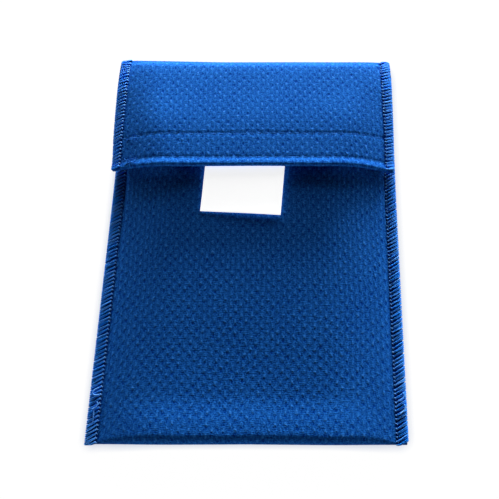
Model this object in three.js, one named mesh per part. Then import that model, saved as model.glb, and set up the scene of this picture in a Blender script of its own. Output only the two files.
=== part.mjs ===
import * as THREE from 'three';

// Insulin cooling case: a woven outer cover with a fold-over flap, and a quilted inner pouch of
// gel cells that slides out to be soaked. The case lies closed on its back.
// Millimetres. X runs to the right, Y towards the top fold, Z up through the front.

// Driving dimensions of the whole case
const caseWidth = 115;
const caseLength = 155;
const flapReach = 50.5;

// Cover cloth and its overlocked edges
const coverCloth = 0.8;
const pressedCloth = 0.6;
const pressRun = 3;
const layGap = 0.3;
const threadLayer = 0.35;
const seamWidth = 4.2;
const seamRise = 1;
const seamNose = 0.7;
const coverShoulder = 13;

// Bottom fold, mouth hem and top fold of the cover
const bottomFoldReach = 4.8;
const bottomCrownReach = 16;
const bottomJoinInset = 5.6;
const mouthInset = 7.5;
const mouthHemDepth = 8;
const mouthLiftRun = 2.5;
const topFoldReach = 5.2;
const topFoldEdgeReach = 1.9;
const topFoldDrawIn = 1.2;
const topFoldDrop = 1.2;
const topJoinInset = 7.1;

// Flap
const flapShoulder = 19.5;
const flapEdgeClearance = 0.35;
const flapHemDepth = 15;
const hemLipRun = 1.2;
const flapSlopeStart = 1;

// Hook and loop tapes under the flap hem
const tapeShoulderGap = 3;
const tapeWidth = 11.5;
const tapeThickness = 0.6;
const tapeCorner = 1.2;
const tapeInset = 2.8;

// Label tab sewn under the hem
const labelWidth = 32;
const labelLength = 21;
const labelThickness = 0.25;
const labelSewnDepth = 1.3;
const labelOffset = 3.4;
const labelTilt = THREE.MathUtils.degToRad(-2.5);

// Inner pouch
const pouchCloth = 0.4;
const gelThickness = 0.6;
const pocketClearance = 4.4;
const channelCount = 5;
const pouchSideRoom = 4.8;
const pouchBottomRoom = 8;
const pouchMouthRoom = 8;
const pouchSeamWidth = 3.2;
const pouchSeamHeight = 4;
const pouchShoulder = 8;
const pouchBottomSlope = 12;
const bindingWidth = 4.5;
const quiltEndRun = 8;
const gelEdge = 0.06;

// Counts and shares of the curves
const turnSteps = 8;
const bottomSteps = 12;
const bottomApexShare = 0.42;
const hemTurnSteps = 4;
const noseSteps = 6;
const slopeSteps = 5;
const shoulderShares = [0.1, 0.22, 0.36, 0.52, 0.7, 0.86, 1];
const flapShoulderShares = [0.36, 0.5, 0.66, 0.82, 1];
const crestShare = 0.3;
const channelShares = [0.1, crestShare, 1 - crestShare, 0.9];
const quiltSlopeShares = [0, 0.25, 0.5, 1];
const differenceStep = 0.01;

// Stack of layers from the table up
const halfWidth = caseWidth / 2;
const halfLength = caseLength / 2;
const quiltHalf = pouchCloth + layGap + gelThickness / 2;
const stitchHalf = pouchCloth + layGap / 2;
const backMid = coverCloth / 2;
const backQuiltMid = coverCloth + layGap + quiltHalf;
const frontQuiltMid = backQuiltMid + 2 * quiltHalf + pocketClearance;
const frontCrest = frontQuiltMid + quiltHalf + layGap + coverCloth / 2;
const frontTop = frontCrest + coverCloth / 2;
const hookTapeBase = frontTop + tapeThickness + layGap;
const hemUnderside = hookTapeBase + tapeThickness;
const flapCrest = hemUnderside + coverCloth + layGap + coverCloth / 2;

// Heights in the side seam, where the cloth is pressed
const rawEdge = halfWidth - threadLayer - layGap;
const seamFoot = halfWidth - seamWidth - layGap;
const seamMid = seamRise + threadLayer + layGap + pressedCloth + layGap / 2;
const seamBack = seamMid - (pressedCloth + layGap) / 2;
const seamFront = seamMid + (pressedCloth + layGap) / 2;
const singleLip = pressedCloth / 2 + layGap;
const doubleLip = pressedCloth + layGap * 1.5;
const pressedLift = pressedCloth + layGap;
const seamTopAtMouth = seamMid + doubleLip + threadLayer + pressedLift;
const flapEdge = seamTopAtMouth + flapEdgeClearance + threadLayer + singleLip;

// Places along the case
const bottomJoin = -halfLength + bottomJoinInset;
const topJoin = halfLength - topJoinInset;
const mouthEdge = halfLength - mouthInset;
const hemEdge = halfLength - flapReach;
const hemRaw = hemEdge + flapHemDepth;
const tapeHalfLength = halfWidth - flapShoulder - tapeShoulderGap;

// Returns a share from 0 to 1, with values outside cut off.
function share(value) {
  return Math.min(Math.max(value, 0), 1);
}

// A round shoulder: 0 at the foot, 1 from the run onwards, level where it meets the crest.
function shoulder(distance, run) {
  return Math.sin(Math.PI / 2 * share(distance / run));
}

// A soft slope with level ends.
function soft(value) {
  return THREE.MathUtils.smoothstep(value, 0, 1);
}

function mix(from, to, part) {
  return THREE.MathUtils.lerp(from, to, part);
}

// The mirrored list of stations across the case, from left to right, with the middle line.
function mirrored(halves) {
  const right = [...halves].sort((a, b) => a - b);
  const left = right.map((x) => -x).reverse();
  return [...left, 0, ...right];
}

function stepsBetween(from, to, count) {
  return Array.from({ length: count + 1 }, (_, i) => mix(from, to, i / count));
}

// Makes one closed body from points and triangles, and turns its faces outwards.
function closedBody(points, triangles) {
  let volume = 0;
  for (const [a, b, c] of triangles) {
    volume += points[a].dot(new THREE.Vector3().crossVectors(points[b], points[c]));
  }
  const ordered = volume < 0 ? triangles.map(([a, b, c]) => [a, c, b]) : triangles;
  const geometry = new THREE.BufferGeometry();
  geometry.setAttribute('position', new THREE.Float32BufferAttribute(points.flatMap((p) => p.toArray()), 3));
  geometry.setIndex(ordered.flat());
  geometry.computeVertexNormals();
  return geometry;
}

// Closes two faces of one grid into a body: a top and a bottom face and the rim between them.
function bodyBetween(top, bottom) {
  const rows = top.length;
  const columns = top[0].length;
  const points = [...top.flat(), ...bottom.flat()];
  const upper = (i, j) => i * columns + j;
  const lower = (i, j) => rows * columns + i * columns + j;
  const triangles = [];
  const quad = (a, b, c, d) => triangles.push([a, b, c], [a, c, d]);
  for (let i = 0; i + 1 < rows; i += 1) {
    for (let j = 0; j + 1 < columns; j += 1) {
      quad(upper(i, j), upper(i + 1, j), upper(i + 1, j + 1), upper(i, j + 1));
      quad(lower(i, j), lower(i, j + 1), lower(i + 1, j + 1), lower(i + 1, j));
    }
    quad(upper(i, 0), lower(i, 0), lower(i + 1, 0), upper(i + 1, 0));
    quad(upper(i + 1, columns - 1), lower(i + 1, columns - 1), lower(i, columns - 1), upper(i, columns - 1));
  }
  for (let j = 0; j + 1 < columns; j += 1) {
    quad(upper(0, j + 1), lower(0, j + 1), lower(0, j), upper(0, j));
    quad(upper(rows - 1, j), lower(rows - 1, j), lower(rows - 1, j + 1), upper(rows - 1, j + 1));
  }
  return closedBody(points, triangles);
}

// A sheet of cloth. sectionAt(x) lists the stations of its middle line along the case, each with
// a point and the direction in which the line runs; the cloth has its thickness across both.
function clothSheet(across, sectionAt, thicknessAt) {
  const top = [];
  const bottom = [];
  for (const x of across) {
    const right = sectionAt(x + differenceStep);
    const left = sectionAt(x - differenceStep);
    const half = thicknessAt(x) / 2;
    const stations = sectionAt(x).map(({ point, along }, k) => {
      const side = right[k].point.clone().sub(left[k].point);
      return { point, offset: side.cross(along).setLength(half) };
    });
    top.push(stations.map(({ point, offset }) => point.clone().add(offset)));
    bottom.push(stations.map(({ point, offset }) => point.clone().sub(offset)));
  }
  return bodyBetween(top, bottom);
}

// Sweeps a closed outline through rings of points and caps both ends.
function sweptBody(rings, outline) {
  const count = outline.length;
  const points = rings.flat();
  const triangles = [];
  for (let i = 0; i + 1 < rings.length; i += 1) {
    for (let j = 0; j < count; j += 1) {
      const next = (j + 1) % count;
      triangles.push([i * count + j, i * count + next, (i + 1) * count + next]);
      triangles.push([i * count + j, (i + 1) * count + next, (i + 1) * count + j]);
    }
  }
  const last = (rings.length - 1) * count;
  const anticlockwise = THREE.ShapeUtils.area(outline) > 0;
  for (const [a, b, c] of THREE.ShapeUtils.triangulateShape(outline, [])) {
    triangles.push(anticlockwise ? [a, c, b] : [a, b, c]);
    triangles.push(anticlockwise ? [last + a, last + b, last + c] : [last + a, last + c, last + b]);
  }
  return closedBody(points, triangles);
}

// The C-shaped outline of threads or tape that wraps a cloth edge. First value: how far in from
// the outer edge. Second value: height over the cloth's middle, between the lips above and below.
function wrapOutline(width, nose, layer, lipAbove, lipBelow) {
  const middle = (lipAbove - lipBelow) / 2;
  const half = (lipAbove + lipBelow) / 2 + layer;
  const outline = [new THREE.Vector2(width, middle + half)];
  for (const angle of stepsBetween(0, Math.PI, noseSteps)) {
    outline.push(new THREE.Vector2(nose - nose * Math.sin(angle), middle + half * Math.cos(angle)));
  }
  outline.push(new THREE.Vector2(width, middle - half));
  outline.push(new THREE.Vector2(width, -lipBelow));
  outline.push(new THREE.Vector2(layer, -lipBelow));
  outline.push(new THREE.Vector2(layer, lipAbove));
  outline.push(new THREE.Vector2(width, lipAbove));
  return outline;
}

// A station on a surface z = heightAt(x, y), with an offset along the surface's normal and the
// direction of the cloth's line there: turn 0 runs towards +Y, a right angle runs up the normal.
function surfaceStation(heightAt, x, y, offset, turn) {
  const slopeX = (heightAt(x + differenceStep, y) - heightAt(x - differenceStep, y)) / (2 * differenceStep);
  const slopeY = (heightAt(x, y + differenceStep) - heightAt(x, y - differenceStep)) / (2 * differenceStep);
  const normal = new THREE.Vector3(-slopeX, -slopeY, 1).normalize();
  const onward = new THREE.Vector3(0, 1, slopeY).normalize();
  const point = new THREE.Vector3(x, y, heightAt(x, y)).addScaledVector(normal, offset);
  const along = onward.multiplyScalar(Math.cos(turn)).addScaledVector(normal, Math.sin(turn));
  return { point, along };
}

// An overlocked edge that follows a surface at the side of the case. stations gives, for each
// ring, a function of x that returns the cloth's middle point and its line's direction there.
function edgeWrap(side, stations, lips) {
  const outlines = lips.map(([above, below]) => wrapOutline(seamWidth, seamNose, threadLayer, above, below));
  const rings = stations.map((stationAt, i) => outlines[i].map(({ x: inward, y: height }) => {
    const x = side * (halfWidth - inward);
    const { point, along } = stationAt(x);
    const acrossLine = stationAt(x + differenceStep).point.sub(stationAt(x - differenceStep).point);
    return point.clone().add(acrossLine.cross(along).setLength(height));
  }));
  return sweptBody(rings, outlines[0]);
}

// Cover cloth: full thickness in the panel, pressed thinner inside the seam.
function coverThickness(x) {
  return mix(pressedCloth, coverCloth, share((seamFoot - Math.abs(x)) / pressRun));
}

function coverRise(x) {
  return shoulder(seamFoot - Math.abs(x), coverShoulder);
}

function backHeight(x) {
  return mix(seamBack, backMid, coverRise(x));
}

// The front lifts a little towards the mouth to make room for its turned-in hem.
function frontHeight(x, y) {
  const lift = soft((y - mouthEdge + mouthHemDepth + mouthLiftRun) / mouthLiftRun);
  return mix(seamFront, frontCrest, coverRise(x)) + lift * (coverThickness(x) + layGap);
}

function flapRise(x) {
  return shoulder(halfWidth - Math.abs(x), flapShoulder);
}

function flapHeight(x, y) {
  const slope = soft((y - hemRaw - flapSlopeStart) / (topJoin - hemRaw - flapSlopeStart));
  return mix(flapEdge, flapCrest - topFoldDrop * slope, flapRise(x));
}

const coverAcross = mirrored([
  rawEdge,
  seamFoot,
  ...shoulderShares.map((part) => seamFoot - part * coverShoulder),
]);

const flapAcross = mirrored([
  rawEdge,
  seamFoot,
  ...flapShoulderShares.map((part) => halfWidth - part * flapShoulder),
]);

// Back panel: flat on the table, rising a little to the side seams.
function backPanel() {
  const section = (x) => [bottomJoin, 0, topJoin].map((y) => (
    surfaceStation(backHeight, x, y, 0, 0)
  ));
  return clothSheet(coverAcross, section, coverThickness);
}

// The bottom fold at one place across: a short round turn below and a long crown above.
function bottomFoldStations(x) {
  const low = backHeight(x);
  const high = frontHeight(x, bottomJoin);
  const apex = mix(low, high, bottomApexShare);
  const turnReach = mix(pressedLift / 2, bottomFoldReach, coverRise(x));
  const crownReach = mix(pressedLift / 2, bottomCrownReach, coverRise(x));
  const furthest = -halfLength + coverThickness(x) / 2;
  return stepsBetween(0, Math.PI, bottomSteps).map((angle) => {
    const above = angle > Math.PI / 2;
    const reach = above ? crownReach : turnReach;
    const rise = above ? high - apex : apex - low;
    const y = furthest + reach * (1 - Math.sin(angle));
    return {
      point: new THREE.Vector3(x, y, apex - rise * Math.cos(angle)),
      along: new THREE.Vector3(0, -reach * Math.cos(angle), rise * Math.sin(angle)).normalize(),
    };
  });
}

// Front panel: starts at the back, turns up round the bottom fold, crosses the front and ends in
// a hem that is turned in at the mouth.
function frontPanel() {
  const hemTurn = Math.PI;
  const hemStart = mouthEdge - mouthHemDepth;
  const section = (x) => {
    const start = new THREE.Vector3(x, bottomJoin, backHeight(x));
    const stations = [{ point: start, along: new THREE.Vector3(0, -1, 0) }, ...bottomFoldStations(x)];
    for (const y of [0, ...stepsBetween(hemStart - mouthLiftRun, hemStart, 2)]) {
      stations.push(surfaceStation(frontHeight, x, y, 0, 0));
    }
    const radius = (coverThickness(x) + layGap) / 2;
    const turnCentre = mouthEdge - radius - coverThickness(x) / 2;
    for (const angle of stepsBetween(0, hemTurn, hemTurnSteps)) {
      const offset = radius * (Math.cos(angle) - 1);
      const y = turnCentre + radius * Math.sin(angle);
      stations.push(surfaceStation(frontHeight, x, y, offset, -angle));
    }
    stations.push(surfaceStation(frontHeight, x, hemStart, -2 * radius, -hemTurn));
    return stations;
  };
  return clothSheet(coverAcross, section, coverThickness);
}

// Side seam of the body: threads round the front, the back and, near the mouth, the hem too.
function sideSeam(side) {
  const hemStart = mouthEdge - mouthHemDepth;
  const places = [-halfLength, hemStart - mouthLiftRun, hemStart, topJoin];
  const lifts = [0, 0, pressedLift, pressedLift];
  const stations = places.map((y) => (x) => ({
    point: new THREE.Vector3(x, y, seamMid),
    along: new THREE.Vector3(0, 1, 0),
  }));
  return edgeWrap(side, stations, lifts.map((lift) => [doubleLip + lift, doubleLip]));
}

// The line of the top fold at one place across: out from the back, round, and onto the flap.
// The thick middle takes up more cloth, so the fold is drawn in there and runs out at its corners.
function topFoldSection(x) {
  const low = backHeight(x);
  const high = flapHeight(x, topJoin);
  const middle = (low + high) / 2;
  const rise = (high - low) / 2;
  const reach = mix(topFoldEdgeReach, topFoldReach, flapRise(x));
  const atEdge = halfLength - singleLip - threadLayer;
  const atMiddle = halfLength - topFoldDrawIn - coverThickness(x) / 2;
  const furthest = mix(atEdge, atMiddle, flapRise(x));
  const stations = [{ point: new THREE.Vector3(x, topJoin, low), along: new THREE.Vector3(0, 1, 0) }];
  for (const angle of stepsBetween(0, Math.PI, turnSteps)) {
    const point = new THREE.Vector3(
      x,
      furthest - reach + reach * Math.sin(angle),
      middle - rise * Math.cos(angle),
    );
    const along = new THREE.Vector3(0, reach * Math.cos(angle), rise * Math.sin(angle)).normalize();
    stations.push({ point, along });
  }
  stations.push({ point: new THREE.Vector3(x, topJoin, high), along: new THREE.Vector3(0, -1, 0) });
  return stations;
}

function topFold() {
  return clothSheet(flapAcross, topFoldSection, coverThickness);
}

function topFoldSeam(side) {
  const count = topFoldSection(0).length;
  const stations = Array.from({ length: count }, (_, k) => (x) => topFoldSection(x)[k]);
  return edgeWrap(side, stations, stations.map(() => [singleLip, singleLip]));
}

// Flap: from the top fold down over the front, with a hem turned under at its lower edge.
function flapPanel() {
  const hemTurn = Math.PI;
  const section = (x) => {
    const stations = [...stepsBetween(topJoin, hemRaw, slopeSteps), hemEdge + tapeInset].map((y) => (
      surfaceStation(flapHeight, x, y, 0, hemTurn)
    ));
    const radius = (coverThickness(x) + layGap) / 2;
    const turnCentre = hemEdge + radius + coverThickness(x) / 2;
    for (const angle of stepsBetween(0, hemTurn, hemTurnSteps)) {
      const offset = radius * (Math.cos(angle) - 1);
      const y = turnCentre - radius * Math.sin(angle);
      stations.push(surfaceStation(flapHeight, x, y, offset, hemTurn + angle));
    }
    stations.push(surfaceStation(flapHeight, x, hemRaw, -2 * radius, 0));
    return stations;
  };
  return clothSheet(flapAcross, section, coverThickness);
}

// Side edge of the flap: threads round one layer, and round two along the hem.
function flapSeam(side) {
  const slopes = stepsBetween(topJoin, hemRaw + 2 * hemLipRun, slopeSteps);
  const places = [...slopes, hemRaw + hemLipRun, hemEdge];
  const lifts = [...slopes.map(() => 0), pressedLift, pressedLift];
  const stations = places.map((y) => (x) => surfaceStation(flapHeight, x, y, 0, 0));
  return edgeWrap(side, stations, lifts.map((lift) => [singleLip, singleLip + lift]));
}

// Hook or loop tape: a flat strip with round corners, within the level middle of the flap.
function tape(base) {
  const low = hemEdge + tapeInset;
  const high = low + tapeWidth;
  const outline = new THREE.Shape();
  outline.moveTo(-tapeHalfLength + tapeCorner, low);
  outline.lineTo(tapeHalfLength - tapeCorner, low);
  outline.absarc(tapeHalfLength - tapeCorner, low + tapeCorner, tapeCorner, -Math.PI / 2, 0);
  outline.lineTo(tapeHalfLength, high - tapeCorner);
  outline.absarc(tapeHalfLength - tapeCorner, high - tapeCorner, tapeCorner, 0, Math.PI / 2);
  outline.lineTo(-tapeHalfLength + tapeCorner, high);
  outline.absarc(-tapeHalfLength + tapeCorner, high - tapeCorner, tapeCorner, Math.PI / 2, Math.PI);
  outline.lineTo(-tapeHalfLength, low + tapeCorner);
  outline.absarc(-tapeHalfLength + tapeCorner, low + tapeCorner, tapeCorner, Math.PI, Math.PI * 1.5);
  const settings = { depth: tapeThickness, bevelEnabled: false, curveSegments: hemTurnSteps };
  return new THREE.ExtrudeGeometry(outline, settings).translate(0, 0, base);
}

// Label tab: a soft strip that hangs from under the hem and settles onto the front.
function labelTab() {
  const sewnHeight = hemUnderside - layGap - labelThickness / 2;
  const restHeight = frontTop + layGap + labelThickness / 2;
  const sewnEnd = hemEdge + labelSewnDepth;
  const section = (x) => stepsBetween(0, 1, slopeSteps).map((part) => {
    const down = part * (labelLength + labelSewnDepth);
    const spot = new THREE.Vector2(x, -down).rotateAround(new THREE.Vector2(), labelTilt);
    const height = mix(sewnHeight, restHeight, soft((down - labelSewnDepth) / labelLength));
    return {
      point: new THREE.Vector3(spot.x - labelOffset, sewnEnd + spot.y, height),
      along: new THREE.Vector3(0, -1, 0),
    };
  });
  return clothSheet(stepsBetween(-labelWidth / 2, labelWidth / 2, 2), section, () => labelThickness);
}

// Inner pouch outlines
const pouchHalfWidth = halfWidth - seamWidth - pouchSideRoom;
const pouchBottom = -halfLength + pouchBottomRoom;
const pouchMouth = halfLength - pouchMouthRoom;
const pouchRawSide = pouchHalfWidth - threadLayer - layGap;
const pouchFoot = pouchHalfWidth - pouchSeamWidth - layGap;
const quiltHalfWidth = pouchFoot - layGap;
const channelWidth = 2 * quiltHalfWidth / channelCount;
const pouchBottomFoot = pouchBottom + pouchSeamWidth + layGap;
const quiltTop = pouchMouth - bindingWidth - layGap;
const pouchSeamStack = 2 * stitchHalf + layGap / 2;

// Rise of a quilted panel from the seam to its level part.
function pouchRise(x, y) {
  return shoulder(pouchFoot - Math.abs(x), pouchShoulder) * shoulder(y - pouchBottomFoot, pouchBottomSlope);
}

// Middle height of a quilted panel; layer is 1 for the front and -1 for the back.
function quiltMid(layer, x, y) {
  const level = layer > 0 ? frontQuiltMid : backQuiltMid;
  return mix(pouchSeamHeight + layer * pouchSeamStack / 2, level, pouchRise(x, y));
}

// Half thickness of a quilted panel: thin at the stitch lines and swollen in each channel.
function quiltThickness(x, y) {
  const place = (x + quiltHalfWidth) / channelWidth;
  const swell = Math.sin(Math.PI * (place % 1)) / Math.sin(Math.PI * crestShare);
  const inside = place > 0 && place < channelCount ? share(swell) : 0;
  const ends = soft((y - pouchBottomFoot) / quiltEndRun) * soft((quiltTop - y) / quiltEndRun);
  return mix(stitchHalf, quiltHalf, inside * ends);
}

// The pouch's stations across: its channels, their stitch lines and the side shoulders.
function pouchAcross() {
  const lines = [-pouchRawSide, -pouchFoot];
  for (let channel = 0; channel < channelCount; channel += 1) {
    for (const part of [0, ...channelShares]) {
      lines.push(-quiltHalfWidth + (channel + part) * channelWidth);
    }
  }
  return [...lines, quiltHalfWidth, pouchFoot, pouchRawSide];
}

// The quilt's stations along the pouch between its bottom seam and the binding.
const quiltAlong = [
  ...quiltSlopeShares.map((part) => pouchBottomFoot + part * pouchBottomSlope),
  ...stepsBetween(quiltTop - quiltEndRun, quiltTop, 2),
];

// One of the two cloth layers of a quilted panel. face is 1 for its upper layer, -1 for the lower.
function quiltLayer(layer, face) {
  const along = [pouchBottom + threadLayer + layGap, ...quiltAlong, pouchMouth - threadLayer - layGap];
  const middle = (x, y) => quiltMid(layer, x, y);
  const section = (x) => along.map((y) => (
    surfaceStation(middle, x, y, face * (quiltThickness(x, y) - pouchCloth / 2), 0)
  ));
  return clothSheet(pouchAcross(), section, () => pouchCloth);
}

// One gel cell: a long pillow that fills its channel between the two cloth layers.
function gelCell(layer, channel) {
  const start = -quiltHalfWidth + channel * channelWidth;
  const across = channelShares.map((part) => start + part * channelWidth);
  const along = quiltAlong.slice(1, -1);
  const middle = (x, y) => quiltMid(layer, x, y);
  const face = (side) => across.map((x) => along.map((y) => {
    const swell = Math.max(quiltThickness(x, y) - pouchCloth - layGap, gelEdge);
    return surfaceStation(middle, x, y, side * swell, 0).point;
  }));
  return bodyBetween(face(1), face(-1));
}

// Overlocked side seam of the pouch, round all four cloth layers.
function pouchSideSeam(side) {
  const lip = pouchSeamStack / 2 + stitchHalf + layGap;
  const outline = wrapOutline(pouchSeamWidth, seamNose, threadLayer, lip, lip);
  const rings = [pouchBottom, pouchMouth].map((y) => outline.map((spot) => (
    new THREE.Vector3(side * (pouchHalfWidth - spot.x), y, pouchSeamHeight + spot.y)
  )));
  return sweptBody(rings, outline);
}

function pouchBottomSeam() {
  const lip = pouchSeamStack / 2 + stitchHalf + layGap;
  const outline = wrapOutline(pouchSeamWidth, seamNose, threadLayer, lip, lip);
  const rings = [-quiltHalfWidth, quiltHalfWidth].map((x) => outline.map((spot) => (
    new THREE.Vector3(x, pouchBottom + spot.x, pouchSeamHeight + spot.y)
  )));
  return sweptBody(rings, outline);
}

// Binding tape round the mouth edge of one quilted panel, from its first swell to its last.
function mouthBinding(layer) {
  const lip = stitchHalf + layGap;
  const outline = wrapOutline(bindingWidth, seamNose, threadLayer, lip, lip);
  const middle = (x) => quiltMid(layer, x, pouchMouth);
  const across = pouchAcross().slice(3, -3);
  const rings = across.map((x) => {
    const slope = (middle(x + differenceStep) - middle(x - differenceStep)) / (2 * differenceStep);
    const normal = new THREE.Vector3(-slope, 0, 1).normalize();
    return outline.map((spot) => (
      new THREE.Vector3(x, pouchMouth - spot.x, middle(x)).addScaledVector(normal, spot.y)
    ));
  });
  return sweptBody(rings, outline);
}

// Finishes
const royalCloth = new THREE.MeshStandardMaterial({ color: '#1457b3', roughness: 0.85, metalness: 0 });
const blueThread = new THREE.MeshStandardMaterial({ color: '#2e74cf', roughness: 0.7, metalness: 0 });
const navyTape = new THREE.MeshStandardMaterial({ color: '#16264f', roughness: 0.95, metalness: 0 });
const satinLabel = new THREE.MeshStandardMaterial({ color: '#f2f2f0', roughness: 0.45, metalness: 0 });
const liningCloth = new THREE.MeshStandardMaterial({ color: '#22345c', roughness: 0.9, metalness: 0 });
const waterGel = new THREE.MeshStandardMaterial({ color: '#c9dcea', roughness: 0.25, metalness: 0 });

const coolingCase = new THREE.Group();

function add(name, geometry, material) {
  const mesh = new THREE.Mesh(geometry, material.clone());
  mesh.name = name;
  coolingCase.add(mesh);
}

add('back_panel', backPanel(), royalCloth);
add('front_panel', frontPanel(), royalCloth);
add('left_side_seam', sideSeam(-1), blueThread);
add('right_side_seam', sideSeam(1), blueThread);
add('loop_tape', tape(frontTop), navyTape);

add('top_fold', topFold(), royalCloth);
add('top_fold_left_seam', topFoldSeam(-1), blueThread);
add('top_fold_right_seam', topFoldSeam(1), blueThread);

add('flap_panel', flapPanel(), royalCloth);
add('flap_left_seam', flapSeam(-1), blueThread);
add('flap_right_seam', flapSeam(1), blueThread);
add('hook_tape', tape(hookTapeBase), navyTape);
add('label_tab', labelTab(), satinLabel);

add('pouch_front_skin', quiltLayer(1, 1), liningCloth);
add('pouch_front_lining', quiltLayer(1, -1), liningCloth);
add('pouch_back_lining', quiltLayer(-1, 1), liningCloth);
add('pouch_back_skin', quiltLayer(-1, -1), liningCloth);
for (let channel = 0; channel < channelCount; channel += 1) {
  add(`front_gel_cell_${channel + 1}`, gelCell(1, channel), waterGel);
  add(`back_gel_cell_${channel + 1}`, gelCell(-1, channel), waterGel);
}
add('pouch_left_seam', pouchSideSeam(-1), blueThread);
add('pouch_right_seam', pouchSideSeam(1), blueThread);
add('pouch_bottom_seam', pouchBottomSeam(), blueThread);
add('pouch_front_binding', mouthBinding(1), liningCloth);
add('pouch_back_binding', mouthBinding(-1), liningCloth);

export default coolingCase;
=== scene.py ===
"""Insulin cooling case: a woven cover with a fold-over flap, round a quilted pouch of gel cells."""

import bpy
import numpy as np
from mathutils import Matrix, Vector


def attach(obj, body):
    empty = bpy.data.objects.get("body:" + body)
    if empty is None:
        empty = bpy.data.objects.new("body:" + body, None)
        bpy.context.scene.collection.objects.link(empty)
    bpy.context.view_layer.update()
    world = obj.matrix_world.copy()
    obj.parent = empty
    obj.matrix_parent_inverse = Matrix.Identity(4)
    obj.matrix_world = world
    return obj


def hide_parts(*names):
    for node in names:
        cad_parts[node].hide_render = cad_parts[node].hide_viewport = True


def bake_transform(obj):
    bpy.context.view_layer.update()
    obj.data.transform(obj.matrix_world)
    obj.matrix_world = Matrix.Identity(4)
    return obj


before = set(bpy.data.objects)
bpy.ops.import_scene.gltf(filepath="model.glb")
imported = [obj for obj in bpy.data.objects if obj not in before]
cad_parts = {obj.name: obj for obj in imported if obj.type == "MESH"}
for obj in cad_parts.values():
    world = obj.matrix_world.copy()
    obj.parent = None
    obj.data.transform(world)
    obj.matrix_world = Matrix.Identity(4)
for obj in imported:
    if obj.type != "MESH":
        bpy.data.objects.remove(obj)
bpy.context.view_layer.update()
chance = np.random.default_rng(7)

# Sizes of the case in millimetres, from the part's source. Its round shoulders are wider here.
HALF_WIDTH = 57.5
HALF_LENGTH = 77.5
RAW_EDGE = 56.85
SEAM_WIDTH = 4.2
SEAM_FOOT = 53.0
CLOTH = 0.8
PRESSED_CLOTH = 0.6
GAP = 0.3
SEAM_BACK, SEAM_MID, SEAM_FRONT = 1.95, 2.4, 2.85
BACK_MID = 0.5
FRONT_CREST = 10.2
FLAP_EDGE, FLAP_CREST, EDGE_LIFT, CREST_FALL = 5.2, 13.6, 4.0, 1.2
BACK_SHOULDER, COVER_SHOULDER, GRIPPED_SHOULDER = 13.0, 28.0, 19.0
FLAP_SHOULDER, FOLD_SHOULDER = 25.0, 16.0
BOTTOM_JOIN, TOP_JOIN = -71.9, 70.4
MOUTH_EDGE, MOUTH_HEM, MOUTH_LIFT = 70.0, 62.0, 59.5
HEM_EDGE, HEM_RAW = 27.0, 42.0
HEM_ROWS = (30.6, 39.7)
TAPE_LOW, TAPE_HIGH, TAPE_HALF = 29.8, 41.3, 35.0
HEM_UNDER = 12.1
SKEW = 0.0287
# Where along the case the closure's grip and the flap's flattening start, and over what lengths.
GRIP_START, GRIP_RUN = 22, 8
FLAT_START, FLAT_RUN, LIFT_RUN = 30, 42, 32

# The case is drawn empty, so its pocket sinks flat: least under the flap's hem, most before the
# bottom fold. These are the slopes of the front along the case, in mm per mm, and from them its
# height at spots 0.25 mm apart.
POCKET_FLOOR, POCKET_DEPTH = 4.4, 5.8
HEM_SINK = 0.3
SLOPE_AT = [-78, -71, -68, -64.5, -60, -44, 8, 14, 20, 25, 30, 36, 44, 62, 68, 72, 78]
SLOPES = [
    -0.06, -0.06, -0.115, -0.1, -0.015, 0.01, 0.012, 0.05, 0.035, 0.0, -0.04, -0.06, -0.06, -0.075,
    -0.12, -0.22, -0.28,
]
SPOTS = np.linspace(-82, 82, 657)
SPOT_SLOPES = np.interp(SPOTS, SLOPE_AT, SLOPES)
SPOT_HEIGHTS = (SPOT_SLOPES[1:] + SPOT_SLOPES[:-1]) / 2 * np.diff(SPOTS)
SPOT_HEIGHTS = np.concatenate([[0], np.cumsum(SPOT_HEIGHTS)])
# The flap lies a little to the left and is narrower than the body, which spreads towards its
# bottom and hangs lower at its right corner, and all of the cloth is slightly rippled.
FLAP_SHIFT, FLAP_NARROWING = -0.95, 0.004
BOTTOM_SPREAD, CORNER_DROP, RIPPLE = 0.013, 0.012, 0.008
# The hem curls up a little below its lower row of stitches, and its cloth has stretched forwards
# between the rows, all but at its left end.
HEM_CURL, CURL_START, CURL_RUN = 0.6, 31.0, 3.4
HEM_STRETCH, STRETCH_START, STRETCH_RUN = 1.5, 41.0, 9.0

# The weave of the cover: raised floats in a staggered lattice, 3.9 mm apart in a row, two rows
# in 4 mm. Each has a dark pit next to it, 0.29 of 4 mm along the cloth, and ribs run along it.
WEAVE_ACROSS = 3.9
WEAVE_ALONG = 4.0
PIT_SHIFT = 0.29
FLOAT_HEIGHT, PIT_DEPTH, RIB_HEIGHT = 0.04, 0.05, 0.035


def clamp(value):
    return np.clip(value, 0.0, 1.0)


def soft(value):
    t = clamp(value)
    return t * t * (3 - 2 * t)


def mix(low, high, share):
    return low + (high - low) * share


def rise(distance, run):
    """A round shoulder: 0 at the foot and 1 from the run onwards."""
    return np.sin(np.pi / 2 * clamp(distance / run))


def unit(vectors):
    return vectors / np.maximum(np.linalg.norm(vectors, axis=-1, keepdims=True), 1e-9)


def points_of(across, along, up):
    """Points from their three places, each a number or an array."""
    return np.stack(np.broadcast_arrays(across, along, up), -1)


def put_in_scene(name, data):
    made = bpy.data.objects.new(name, data)
    bpy.context.scene.collection.objects.link(made)
    return made


# Finishes

def linear(colour):
    """An sRGB hex colour as linear red, green and blue, with alpha."""
    parts = [int(colour[i:i + 2], 16) / 255 for i in (1, 3, 5)]
    return [c / 12.92 if c <= 0.04045 else ((c + 0.055) / 1.055) ** 2.4 for c in parts] + [1.0]


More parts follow.
